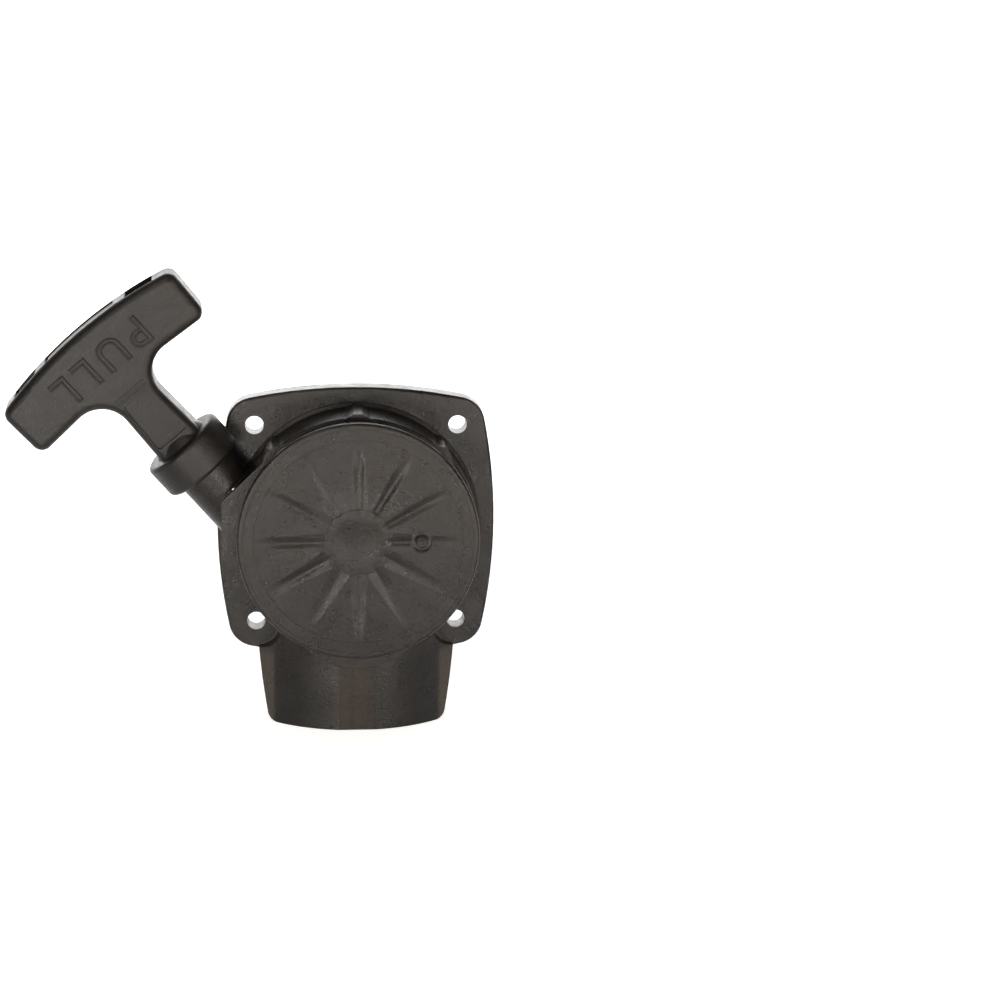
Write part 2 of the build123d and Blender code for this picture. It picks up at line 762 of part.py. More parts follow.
bend_turn = math.radians(leave_direction.get_angle(pull_direction))
bend_setback = rope_bend_radius * math.tan(bend_turn / 2)
bend_start = bend_point - leave_direction * bend_setback
bend_end = bend_point + pull_direction * bend_setback
inwards = (pull_direction - leave_direction).normalized()
bend_middle = bend_point + inwards * (rope_bend_radius / math.cos(bend_turn / 2) - rope_bend_radius)
with BuildPart() as rope_run:
    with BuildLine() as route:
        start_turn = math.radians(rope_start_angle)
        middle_turn = (start_turn + leave_turn) / 2
        groove_centre = Vector(0, -groove_middle, 0)
        ThreePointArc(
            groove_centre + Vector(math.cos(start_turn), 0, math.sin(start_turn)) * rope_run_radius,
            groove_centre + Vector(math.cos(middle_turn), 0, math.sin(middle_turn)) * rope_run_radius,
            leave_point,
        )
        Line(leave_point, bend_start)
        ThreePointArc(bend_start, bend_middle, bend_end)
        Line(bend_end, foot_point + pull_direction * slot_floor)
    with BuildSketch(Plane(origin=route.wire() @ 0, z_dir=route.wire() % 0)):
        Circle(rope_radius)
    sweep(path=route.wire())
save(rope_run, "rope_run")
print("foot point", foot_point, "pull", pull_direction, "across", across_direction, "face", face_direction)
print("rope run: length", round(route.wire().length, 1), "volume over section",
      round(rope_run.part.volume / (math.pi * rope_radius**2), 1), "bend radius", rope_bend_radius)

with BuildPart() as knot_washer:
    with BuildSketch(pull_plane(slot_floor)):
        Circle(3.7)
        Circle(rope_hole_radius, mode=Mode.SUBTRACT)
    extrude(amount=0.8)
save(knot_washer, "knot_washer")

with BuildPart() as rope_knot_handle:
    with BuildSketch(pull_plane(slot_floor)):
        Circle(rope_radius)
    extrude(amount=3.0)
    with Locations(pull_plane(slot_floor + 0.8 + 2.9)):
        Sphere(knot_radius - 0.5)
save(rope_knot_handle, "rope_knot_handle")

# ------------------------------------------------------------------ handle
with BuildPart() as handle:
    # T-shaped block: stem and bar in one outline, then rounded along its front and back edges.
    with BuildSketch(handle_plane) as tee:
        with BuildLine():
            Polyline(
                (-stem_half_width, collar_end - 3),
                (stem_half_width, collar_end - 3),
                (stem_top_half_width, bar_bottom),
                (bar_half_length - bar_end_lean, bar_end_bottom),
                (bar_half_length, bar_top - bar_top_drop),
            )
            ThreePointArc(
                (bar_half_length, bar_top - bar_top_drop),
                (0, bar_top),
                (-bar_half_length, bar_top - bar_top_drop),
            )
            Polyline(
                (-bar_half_length, bar_top - bar_top_drop),
                (bar_end_lean - bar_half_length, bar_end_bottom),
                (-stem_top_half_width, bar_bottom),
                (-stem_half_width, collar_end - 3),
            )
        make_face()
        fillet(tee.vertices().filter_by(lambda corner: abs(corner.X) > stem_half_width + 1), bar_corner_round)
        fillet(
            tee.vertices().filter_by(
                lambda corner: abs(corner.X) < stem_half_width + 1 and corner.Y > collar_end
            ),
            bar_stem_round,
        )
    extrude(amount=bar_half_thickness, both=True)
    front_edges = handle.faces().sort_by(face_axis)[0].edges()
    rear_edges = handle.faces().sort_by(face_axis)[-1].edges()
    fillet(front_edges + rear_edges, handle_edge_round)

    # Sunken panel in the front of the stem, and a thinner plain stem at the back.
    with BuildSketch(handle_plane.offset(bar_half_thickness - panel_depth)) as panel:
        with BuildLine():
            Polyline(
                (-panel_half_width, panel_start),
                (panel_half_width, panel_start),
                (panel_top_half_width, panel_end),
                (-panel_top_half_width, panel_end),
                close=True,
            )
        make_face()
        fillet(panel.vertices(), 0.9)
    extrude(amount=panel_depth + 1, mode=Mode.SUBTRACT)

    # Two low ridges across the stem, above the panel.
    with BuildSketch(handle_plane.offset(bar_half_thickness - 0.2)):
        with Locations((0, panel_end + 1.2), (0, panel_end + 1.2 + ridge_pitch)):
            Rectangle(2 * panel_half_width, ridge_width)
    extrude(amount=0.2 + ridge_height)

    # Collar that cups over the end of the rope tube.
    with BuildSketch(handle_plane):
        with BuildLine():
            Polyline(
                (0, collar_start + 4),
                (cup_radius, collar_start),
                (collar_radius, collar_start),
                (collar_radius, collar_end),
                (stem_half_width + 1.2, collar_end),
                (stem_half_width - 0.6, collar_end + 2.4),
                (0, collar_end + 2.4),
                close=True,
            )
        make_face()
    revolve(axis=pull_axis)
    collar_edges = handle.edges().filter_by(GeomType.CIRCLE).filter_by(
        lambda edge: abs(edge.radius - collar_radius) < 0.01
    )
    fillet(collar_edges, collar_round)
    with BuildSketch(pull_plane(collar_start - 1)):
        Circle(cup_radius)
    extrude(amount=cup_floor - collar_start + 1, mode=Mode.SUBTRACT)
    with BuildSketch(pull_plane(cup_floor)):
        Circle(rope_hole_radius)
    extrude(amount=slot_floor - cup_floor, mode=Mode.SUBTRACT)

    # Centre slot for the knot and one slot near each end of the bar, open outwards.
    with BuildSketch(pull_plane(slot_floor)):
        Rectangle(2 * centre_slot_half_length, 2 * slot_half_thickness)
        with Locations((-end_slot_middle, 0), (end_slot_middle, 0)):
            Rectangle(end_slot_length, 2 * slot_half_thickness)
    extrude(amount=bar_top - slot_floor + 1, mode=Mode.SUBTRACT)
save(handle, "handle")

# ------------------------------------------------------------------ cap over the knot
with BuildPart() as handle_cap:
    with BuildSketch(handle_plane):
        with BuildLine():
            ThreePointArc((-cap_half_length, cap_top - cap_drop), (0, cap_top), (cap_half_length, cap_top - cap_drop))
            Polyline(
                (cap_half_length, cap_top - cap_drop),
                (cap_half_length, cap_bottom),
                (-cap_half_length, cap_bottom),
                (-cap_half_length, cap_top - cap_drop),
            )
        make_face()
    extrude(amount=cap_half_thickness, both=True)
    fillet(handle_cap.edges().filter_by(face_axis), 0.5)
    # Two legs reach down to the slot's floor beside the knot.
    with BuildSketch(pull_plane(slot_floor)):
        with Locations((-9.5, 0), (9.5, 0)):
            Rectangle(2.0, 5.0)
    extrude(amount=cap_bottom - slot_floor + 0.5)
save(handle_cap, "handle_cap")
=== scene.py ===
"""Looks of the recoil starter: materials, the braided rope, the raised lettering, lights and camera."""

import json
import math

import bmesh
import bpy
from mathutils import Euler, Matrix, Vector


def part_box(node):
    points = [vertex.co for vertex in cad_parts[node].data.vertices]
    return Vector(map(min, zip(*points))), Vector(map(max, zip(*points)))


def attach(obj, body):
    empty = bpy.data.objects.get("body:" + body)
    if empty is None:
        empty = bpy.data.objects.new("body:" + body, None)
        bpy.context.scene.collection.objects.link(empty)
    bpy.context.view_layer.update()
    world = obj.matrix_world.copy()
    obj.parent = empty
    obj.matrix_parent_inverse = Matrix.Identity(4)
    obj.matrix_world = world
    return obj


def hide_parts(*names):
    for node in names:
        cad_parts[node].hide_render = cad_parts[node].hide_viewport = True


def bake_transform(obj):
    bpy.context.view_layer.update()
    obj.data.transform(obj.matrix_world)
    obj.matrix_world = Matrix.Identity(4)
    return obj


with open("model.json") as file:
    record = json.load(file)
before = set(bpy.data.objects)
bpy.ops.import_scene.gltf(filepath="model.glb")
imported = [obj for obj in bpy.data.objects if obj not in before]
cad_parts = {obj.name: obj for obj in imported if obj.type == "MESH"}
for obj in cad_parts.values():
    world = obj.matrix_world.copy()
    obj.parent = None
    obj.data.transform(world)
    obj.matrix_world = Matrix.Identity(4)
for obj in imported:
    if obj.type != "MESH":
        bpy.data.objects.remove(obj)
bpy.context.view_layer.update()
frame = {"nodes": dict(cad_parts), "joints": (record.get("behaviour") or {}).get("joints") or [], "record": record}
NODES = frame["nodes"]

MM = 0.001

# The rope tube's axis, from the joint that the handle turns on: the pull direction, the direction
# across the handle's bar, the direction out of the handle's front, and the point nearest to the reel.
TWIST = next(joint for joint in frame["joints"] if joint["name"] == "handle_twist")
PULL = Vector(TWIST["axis"]).normalized()
ACROSS = Vector((PULL.z, 0, -PULL.x)).normalized()
FACE = ACROSS.cross(PULL)
FOOT = Vector(TWIST["pos_m"])

# The rope's way: in the reel's groove, along a tangent, round a bend and out along the tube.
GROOVE_DEPTH = 12.2 * MM
GROOVE_RADIUS = 29.3 * MM
START_TURN = math.radians(262)
LEAVE_TURN = math.radians(204.2)
BEND_RADIUS = 15 * MM
ROPE_RADIUS = 1.5 * MM
ROPE_END = 84.9 * MM
BRAID_PITCH = 8.8 * MM
BRAID_YARNS = 8
FLECK_STEP = 1.34 * MM

# The drum's front: where it begins, its gate mark, and how many sunk lines run out over it.
DRUM_FRONT = -29.2 * MM
GATE = (18.3 * MM, 0, 0)
GATE_RADIUS = 2.4 * MM
SINK_LINES = 12

# The skirt: its top, its half width without the cheeks, and the middle of its band of painted reflection.
SKIRT_TOP = -36.0 * MM
SKIRT_HALF_WIDTH = 24.6 * MM
REFLECTION_BAND_MIDDLE = -0.8 * MM

# The screw head's cross recess: where it begins and how far it reaches from the axis.
RECESS_TOP = -4.0 * MM
RECESS_RADIUS = 4.0 * MM

# The raised word on the handle's bar: its place along the pull direction, and the bar's face.
WORD_PLACE = 87.6 * MM
BAR_FACE = 6.4 * MM


# ------------------------------------------------------------------ node helpers
class Paint:
    """A material's node tree with short calls for the nodes used here."""

    def __init__(self, name):
        self.material = bpy.data.materials.new(name)
        self.material.use_nodes = True
        self.tree = self.material.node_tree
        self.shader = self.tree.nodes["Principled BSDF"]
        self.coords = self.tree.nodes.new("ShaderNodeTexCoord").outputs["Object"]

    def node(self, kind, inputs=None, **settings):
        made = self.tree.nodes.new("ShaderNode" + kind)
        for key, value in settings.items():
            setattr(made, key, value)
        for key, value in (inputs or {}).items():
            self.feed(made.inputs[key], value)
        return made

    def feed(self, socket, value):
        if isinstance(value, bpy.types.NodeSocket):
            self.tree.links.new(value, socket)
        else:
            socket.default_value = value

    def math(self, operation, a, b=0.0):
        return self.node("Math", {0: a, 1: b}, operation=operation).outputs[0]

    def vector(self, operation, a, b=(0, 0, 0)):
        made = self.node("VectorMath", {0: a, 1: b}, operation=operation)
        return made.outputs["Value" if operation in ("DOT_PRODUCT", "LENGTH") else "Vector"]

    def reach(self):
        """Distance from the reel's axis."""
        return self.vector("LENGTH", self.vector("MULTIPLY", self.coords, (1, 0, 1)))

    def stretch(self, scale, rotation=(0, 0, 0)):
        made = self.node("Mapping", {"Vector": self.coords, "Scale": scale, "Rotation": rotation})
        return made.outputs["Vector"]

    def noise(self, scale, detail=2.0, roughness=0.5, vector=None, distortion=0.0):
        made = self.node(
            "TexNoise",
            {
                "Vector": vector or self.coords,
                "Scale": scale,
                "Detail": detail,
                "Roughness": roughness,
                "Distortion": distortion,
            },
        )
        return made.outputs["Fac"]

    def map(self, value, low, high, to_low=0.0, to_high=1.0, smooth=False):
        made = self.node(
            "MapRange",
            {"Value": value, "From Min": low, "From Max": high, "To Min": to_low, "To Max": to_high},
            interpolation_type="SMOOTHSTEP" if smooth else "LINEAR",
        )
        return made.outputs["Result"]

    def colours(self, factor, *stops):
        made = self.node("ValToRGB", {"Fac": factor})
        ramp = made.color_ramp
        ramp.elements[0].position, ramp.elements[0].color = stops[0][0], (*stops[0][1], 1)
        ramp.elements[1].position, ramp.elements[1].color = stops[-1][0], (*stops[-1][1], 1)
        for position, colour in stops[1:-1]:
            ramp.elements.new(position).color = (*colour, 1)
        return made.outputs["Color"]

    def mix(self, factor, a, b, blend="MIX"):
        made = self.tree.nodes.new("ShaderNodeMix")
        made.data_type = "RGBA"
        made.blend_type = blend
        self.feed(made.inputs[0], factor)
        for socket, value in ((made.inputs[6], a), (made.inputs[7], b)):
            self.feed(socket, value if isinstance(value, bpy.types.NodeSocket) else (*value, 1))
        return made.outputs[2]

    def round_edges(self, radius):
        return self.node("Bevel", {"Radius": radius}, samples=6).outputs["Normal"]

    def edge_mask(self, rounded):
        """1 on edges, 0 on flats: how far the rounded normal turns from the true one."""
        true_normal = self.node("NewGeometry").outputs["Normal"]
        facing = self.vector("DOT_PRODUCT", rounded, true_normal)
        return self.map(facing, 0.995, 0.90)

    def bump(self, height, distance, strength=1.0, normal=None):
        inputs = {"Height": height, "Distance": distance, "Strength": strength}
        if normal is not None:
            inputs["Normal"] = normal
        return self.node("Bump", inputs).outputs["Normal"]

    def finish(self, **inputs):
        for key, value in inputs.items():
            self.feed(self.shader.inputs[key.replace("_", " ")], value)
        return self.material


def moulded_nylon(name, dark, light, sheen_low, sheen_high, wave, case_relief_and_painted_light=False):
    """Satin glass-filled nylon: soft waves from moulding, fibre swirls, fine grain and rubbed edges.
    The case also has the drum's front, a ring of painted shade at the gate mark and the skirt's painted light and
    shade."""
    paint = Paint(name)
    rounded = paint.round_edges(0.35 * MM)
    rubbed = paint.edge_mask(rounded)
    swirl = paint.noise(95, 5, 0.62, distortion=1.6)
    mottle = paint.noise(900, 3, 0.65)
    fibres = paint.noise(1, 2, 0.6, paint.stretch((1500, 1500, 5200), (0.3, 0.9, 0.5)))
    broad = paint.noise(38, 2, 0.5)
    tone = paint.math("ADD", paint.math("MULTIPLY", swirl, 0.55), paint.math("MULTIPLY", mottle, 0.45))
    base = paint.colours(tone, (0.30, dark), (0.72, light))
    rust = (light[0] * 1.35, light[1] * 0.98, light[2] * 0.80)
    base = paint.mix(paint.map(broad, 0.5, 0.7, 0.0, 0.35), base, rust)
    speck = paint.map(paint.noise(2600, 1, 0.5), 0.68, 0.76, 0.0, 0.5)
    base = paint.mix(speck, base, tuple(min(1, 4.5 * c) for c in light))
    base = paint.mix(paint.math("MULTIPLY", rubbed, 0.45), base, tuple(min(1, 5 * c) for c in light))
    sheen = paint.map(paint.math("ADD", mottle, swirl), 0.75, 1.25, sheen_low, sheen_high)
    waves = paint.bump(paint.noise(70, 1, 0.4), wave, 1.0, rounded)
    if case_relief_and_painted_light:
        base = skirt_painted_light(paint, base, light)
        base = gate_ring_painted_shade(paint, base)
        waves = paint.bump(sector_waves(paint), 1.0 * MM, 1.0, waves)
    grain_height = paint.math("ADD", mottle, paint.math("MULTIPLY", fibres, 0.7))
    grain = paint.bump(grain_height, 0.10 * MM, 1.0, waves)
    return paint.finish(Base_Color=base, Roughness=sheen, Normal=grain, Specular_IOR_Level=0.2)


def skirt_painted_light(paint, base, light):
    """The skirt, front and back: painted shade on its flanks, paler cheeks as painted light on their
    rounds, and a browner band down its middle as a painted reflection of its flat middle.
    """
    place = paint.node("SeparateXYZ", {"Vector": paint.coords})
    low = paint.map(place.outputs["Z"], SKIRT_TOP, SKIRT_TOP - 4.0 * MM, 0.0, 1.0, smooth=True)
    streaks = paint.noise(1, 3, 0.6, paint.stretch((420, 420, 45)))
    aside = paint.math("ABSOLUTE", place.outputs["X"])
    within = paint.map(aside, SKIRT_HALF_WIDTH - 1.6 * MM, SKIRT_HALF_WIDTH, 0.62, 0.0, smooth=True)
    # Painted shade: the skirt is darkened across its flanks, fading out towards the cheeks.
    flank_shade = paint.math("MULTIPLY", low, within)
    base = paint.mix(flank_shade, base, tuple(0.33 * c for c in light))
    # Painted reflection: a browner, streaked band down the skirt's middle.
    from_middle = paint.math("ABSOLUTE", paint.math("SUBTRACT", place.outputs["X"], REFLECTION_BAND_MIDDLE))
    band = paint.map(from_middle, 5.0 * MM, 7.0 * MM, 1.0, 0.0)
    reflection_streaks = paint.map(streaks, 0.35, 0.65, 0.45, 1.0)
    band_reflection = paint.math("MULTIPLY", paint.math("MULTIPLY", low, band), reflection_streaks)
    base = paint.mix(band_reflection, base, (light[0] * 1.5, light[1] * 1.2, light[2] * 1.0))
    # Painted light: the cheeks beyond the half width are made paler.
    beyond = paint.map(aside, SKIRT_HALF_WIDTH - 0.4 * MM, SKIRT_HALF_WIDTH + 0.8 * MM, 0.0, 1.0, smooth=True)
    cheek_light = paint.math("MULTIPLY", low, beyond)
    return paint.mix(cheek_light, base, (light[0] * 2.6, light[1] * 2.5, light[2] * 2.5))


def off_gate_ring(paint):
    """Distance from the gate mark's ring, inwards or outwards."""
    from_gate = paint.vector("SUBTRACT", paint.vector("MULTIPLY", paint.coords, (1, 0, 1)), GATE)
    beyond = paint.math("SUBTRACT", paint.vector("LENGTH", from_gate), GATE_RADIUS)
    return paint.math("ABSOLUTE", beyond)


def gate_ring_painted_shade(paint, base):
    """Painted shade: a darker ring at the gate mark, where the plastic went into the mould."""
    # Painted shade: the gate mark's ring is darkened on the drum's front.
    ring = paint.map(off_gate_ring(paint), 0.3 * MM, 1.0 * MM, 0.8, 0.0, smooth=True)
    place = paint.node("SeparateXYZ", {"Vector": paint.coords})
    front = paint.map(place.outputs["Y"], DRUM_FRONT + 1.2 * MM, DRUM_FRONT + 0.6 * MM, 0.0, 1.0)
    return paint.mix(paint.math("MULTIPLY", ring, front), base, (0.006, 0.005, 0.0045))


def sector_waves(paint):
    """Height of the drum's front in millimetres: twelve sunk lines that run out from the hub, a
    shallow cone round the hub that stands out unevenly between them, and a ring at the gate."""
    place = paint.node("SeparateXYZ", {"Vector": paint.coords})
    reach = paint.reach()
    front = paint.map(place.outputs["Y"], DRUM_FRONT, DRUM_FRONT - 0.2 * MM, 0.0, 1.0)
    angle = paint.math("ARCTAN2", place.outputs["Z"], place.outputs["X"])
    half = SINK_LINES / 2
    apart = paint.math("SINE", paint.math("MULTIPLY", angle, half))
    aside = paint.math("MULTIPLY", paint.math("ABSOLUTE", apart), paint.math("MULTIPLY", reach, 1 / half))
    width = paint.map(reach, 8 * MM, 30 * MM, 1.3 * MM, 2.4 * MM)
    line = paint.map(paint.math("DIVIDE", aside, width), 0.0, 1.0, 1.0, 0.0, smooth=True)
    starts = paint.map(reach, 7 * MM, 11 * MM, 0.0, 1.0, smooth=True)
    ends = paint.map(reach, 20 * MM, 31 * MM, 1.0, 0.0, smooth=True)
    uneven = paint.map(paint.noise(34, 1, 0.4), 0.35, 0.65, 0.15, 1.2)
    span = paint.math("MULTIPLY", starts, ends)
    depth = paint.math("MULTIPLY", span, paint.math("MULTIPLY", uneven, -0.52))
    lines = paint.math("MULTIPLY", line, depth)
    swell = paint.map(paint.noise(48, 1, 0.4), 0.3, 0.7, 0.35, 1.1)
    cone = paint.math("MULTIPLY", paint.map(reach, 7 * MM, 17 * MM, 0.9, 0.0, smooth=True), swell)
    dimple = paint.map(reach, 1.5 * MM, 8 * MM, -0.5, 0.0, smooth=True)
    gate = paint.map(off_gate_ring(paint), 0.0, 1.1 * MM, 0.5, 0.0, smooth=True)
    height = paint.math("ADD", paint.math("ADD", lines, cone), paint.math("ADD", dimple, gate))
    return paint.math("MULTIPLY", height, front)


def natural_nylon():
    """The reel's uncoloured nylon: milky, slightly translucent, with faint rings round its axis."""
    paint = Paint("natural_nylon")
    rounded = paint.round_edges(0.25 * MM)
    cloud = paint.noise(60, 3, 0.5, distortion=0.8)
    fine = paint.noise(1400, 3, 0.6)
    base = paint.colours(cloud, (0.3, (0.55, 0.525, 0.505)), (0.7, (0.63, 0.605, 0.59)))
    place = paint.node("SeparateXYZ", {"Vector": paint.coords})
    reach = paint.reach()
    rings = paint.math("SINE", paint.math("MULTIPLY", reach, 5200))
    rings = paint.math("MULTIPLY", rings, paint.noise(120, 2, 0.5))
    smudge = paint.map(paint.noise(25, 4, 0.6), 0.55, 0.75, 0.0, 0.25)
    base = paint.mix(smudge, base, (0.48, 0.46, 0.44))
    shade = paint.map(place.outputs["Y"], -27.5 * MM, -3.0 * MM, 0.92, 1.0)
    shading = paint.node("CombineColor", {0: shade, 1: shade, 2: shade}).outputs[0]
    base = paint.mix(1.0, base, shading, "MULTIPLY")
    height = paint.math("ADD", paint.math("MULTIPLY", rings, 0.35), fine)
    normal = paint.bump(height, 0.03 * MM, 0.5, paint.bump(cloud, 0.25 * MM, 0.6, rounded))
    sheen = paint.map(fine, 0.35, 0.65, 0.34, 0.5)
    return paint.finish(
        Base_Color=base,
        Roughness=sheen,
        Normal=normal,
        Subsurface_Weight=0.35,
        Subsurface_Radius=(0.006, 0.005, 0.0045),
        Subsurface_Scale=0.5,
        Specular_IOR_Level=0.5,
    )


def zinc(name, bright, rough_low, rough_high, turned=0.0, recess=False):
    """Bright zinc plate: clouded passivation, fine scratches and, on turned parts, faint rings. The
    screw's cross recess, below the top of its head, is painted dark as shade."""
    paint = Paint(name)
    rounded = paint.round_edges(0.2 * MM)
    cloud = paint.noise(260, 4, 0.6, distortion=0.5)
    scratches = paint.noise(1, 3, 0.7, paint.stretch((9000, 900, 700), (0.2, 0.6, 0.4)))
    cross = paint.noise(1, 3, 0.7, paint.stretch((700, 900, 9000), (0.5, 0.1, 0.9)))
    marks = paint.math("ADD", scratches, cross)
    base = paint.colours(
        cloud,
        (0.3, tuple(0.78 * c for c in bright)),
        (0.55, bright),
        (0.75, (min(1, bright[0] * 1.04), bright[1], bright[2] * 0.95)),
    )
    reach = paint.reach()
    rings = paint.math("MULTIPLY", paint.math("SINE", paint.math("MULTIPLY", reach, 16000)), turned)
    # Painted shade: the cross recess below the top of the screw head is darkened.
    if recess:
        place = paint.node("SeparateXYZ", {"Vector": paint.coords})
        sunk = paint.map(place.outputs["Y"], RECESS_TOP, RECESS_TOP - 0.7 * MM, 0.0, 0.85)
        inside = paint.map(reach, RECESS_RADIUS - 0.3 * MM, RECESS_RADIUS, 1.0, 0.0)
        base = paint.mix(paint.math("MULTIPLY", sunk, inside), base, (0.05, 0.048, 0.045))
    height = paint.math("ADD", marks, rings)
    normal = paint.bump(height, 0.02 * MM, 0.5, rounded)
    rough = paint.map(paint.math("ADD", cloud, marks), 1.1, 1.9, rough_low, rough_high)
    return paint.finish(Base_Color=base, Metallic=1.0, Roughness=rough, Normal=normal)


def plain_plastic(name, low, high):
    """Smooth engineering plastic with faint flow clouds."""
    paint = Paint(name)
    base = paint.colours(paint.noise(150, 3, 0.5), (0.3, low), (0.7, high))
    normal = paint.bump(paint.noise(1800, 2, 0.5), 0.02 * MM, 0.5, paint.round_edges(0.2 * MM))
    return paint.finish(Base_Color=base, Roughness=0.38, Normal=normal)


def brass():
    """Turned brass with fine rings."""
    paint = Paint("machined_brass")
    reach = paint.reach()
    rings = paint.math("SINE", paint.math("MULTIPLY", reach, 22000))
    base = paint.colours(paint.noise(300, 3, 0.6), (0.3, (0.62, 0.43, 0.17)), (0.7, (0.78, 0.58, 0.27)))
    normal = paint.bump(rings, 0.01 * MM, 0.5)
    return paint.finish(Base_Color=base, Metallic=1.0, Roughness=0.3, Normal=normal)


def spring_steel():
    """Blued spring steel, streaked across the strip."""
    paint = Paint("blued_spring_steel")
    tint = paint.noise(180, 3, 0.6)
    base = paint.colours(tint, (0.3, (0.10, 0.115, 0.16)), (0.7, (0.24, 0.25, 0.29)))
    streaks = paint.noise(1, 3, 0.6, paint.stretch((300, 9000, 300)))
    rough = paint.map(streaks, 0.3, 0.7, 0.26, 0.46)
    normal = paint.bump(streaks, 0.01 * MM, 0.5)
    return paint.finish(Base_Color=base, Metallic=1.0, Roughness=rough, Normal=normal)


MATERIALS = {
    "case_nylon": moulded_nylon(
        "case_nylon_look",
        (0.0026, 0.002, 0.0016),
        (0.0092, 0.0072, 0.0057),
        0.25,
        0.39,
        0.45 * MM,
        case_relief_and_painted_light=True,
    ),
    "handle_nylon": moulded_nylon(
        "handle_nylon_look", (0.0025, 0.0021, 0.0017), (0.0085, 0.0071, 0.0059), 0.30, 0.46, 0.2 * MM
    ),
    # Painted light: the cap's nylon is made far paler than the handle's, standing in for the light on its top
    # face.
    "cap_nylon": moulded_nylon(
        "cap_nylon_painted_light", (0.09, 0.080, 0.070), (0.16, 0.145, 0.128), 0.35, 0.5, 0.1 * MM
    ),
    "reel_nylon": natural_nylon(),
    "zinc_nut": zinc("bright_zinc_nut", (0.60, 0.615, 0.64), 0.18, 0.36),
    "zinc_screw": zinc("bright_zinc_screw", (0.52, 0.52, 0.53), 0.22, 0.42, 0.2, True),
    "zinc_washer": zinc("zinc_washer_look", (0.36, 0.357, 0.35), 0.30, 0.50, 0.5),
    "bush_acetal": plain_plastic("bush_acetal_look", (0.66, 0.64, 0.60), (0.78, 0.76, 0.72)),
    "insert_brass": brass(),
    "spring_steel": spring_steel(),
}


def rope_look():
    """Braided nylon, cream, with a line of dark flecks and painted shade in the creases between the
    yarns. The braid is worked out from two coordinates: the distance along the rope and the turn
    round it. In the straight stretch they come from the place itself, so the braid keeps its size
    when the rope pays out; elsewhere from the mesh."""
    paint = Paint("rope_look")
    along = paint.node("Attribute", attribute_name="rope_along").outputs["Fac"]
    round_turn = paint.node("Attribute", attribute_name="rope_turn").outputs["Fac"]
    straight = paint.node("Attribute", attribute_name="rope_straight").outputs["Fac"]
    offset = paint.vector("SUBTRACT", paint.coords, tuple(FOOT))
    place_along = paint.vector("DOT_PRODUCT", offset, tuple(PULL))
    side = paint.vector("DOT_PRODUCT", offset, tuple(ACROSS))
    rear = paint.vector("DOT_PRODUCT", offset, tuple(-FACE))
    place_turn = paint.math("DIVIDE", paint.math("ARCTAN2", rear, side), 2 * math.pi)
    blend = paint.math("GREATER_THAN", straight, 0.5)

    def choose(a, b):
        made = paint.node("Mix", {0: blend, 2: a, 3: b}, data_type="FLOAT")
        return made.outputs[0]

    distance = choose(along, place_along)
    turn = choose(round_turn, place_turn)
    pitch = paint.math("MULTIPLY", distance, 1 / BRAID_PITCH)
    first = paint.math("MULTIPLY", paint.math("ADD", turn, pitch), BRAID_YARNS)
    second = paint.math("MULTIPLY", paint.math("SUBTRACT", turn, pitch), BRAID_YARNS)

    def yarn(phase):
        wave = paint.math("SINE", paint.math("MULTIPLY", phase, 2 * math.pi))
        return paint.math("ABSOLUTE", wave)

    over = paint.math("MULTIPLY", yarn(first), yarn(second))
    fibre = paint.noise(4200, 2, 0.6)
    height = paint.math("ADD", paint.math("POWER", over, 0.6), paint.math("MULTIPLY", fibre, 0.35))
    # A line of dark flecks along one side of the rope, one every step.
    step = paint.math("FRACT", paint.math("ADD", paint.math("DIVIDE", distance, FLECK_STEP), 400.0))
    dash = paint.math("GREATER_THAN", step, 0.58)
    line = paint.math("LESS_THAN", paint.math("ABSOLUTE", paint.math("SUBTRACT", turn, 0.25)), 0.05)
    fleck = paint.math("MULTIPLY", line, dash)
    base = paint.colours(paint.noise(700, 3, 0.6), (0.3, (0.50, 0.45, 0.36)), (0.7, (0.70, 0.65, 0.55)))
    # Painted shade: the braid is darkened in the creases between the yarns.
    crease_shade = paint.map(over, 0.0, 0.30, 0.75, 0.0)
    base = paint.mix(crease_shade, base, (0.22, 0.19, 0.145))
    base = paint.mix(paint.math("MULTIPLY", fleck, 0.85), base, (0.06, 0.055, 0.05))
    normal = paint.bump(height, 0.16 * MM, 0.8)
    return paint.finish(
        Base_Color=base, Roughness=0.78, Normal=normal, Sheen_Weight=0.25, Sheen_Roughness=0.5
    )


MATERIALS["rope"] = rope_look()

for row in frame["record"]["subparts"]:
    shown = NODES[row["node"]]
    shown.data.materials.clear()
    shown.data.materials.append(MATERIALS[row["material_slot"]])


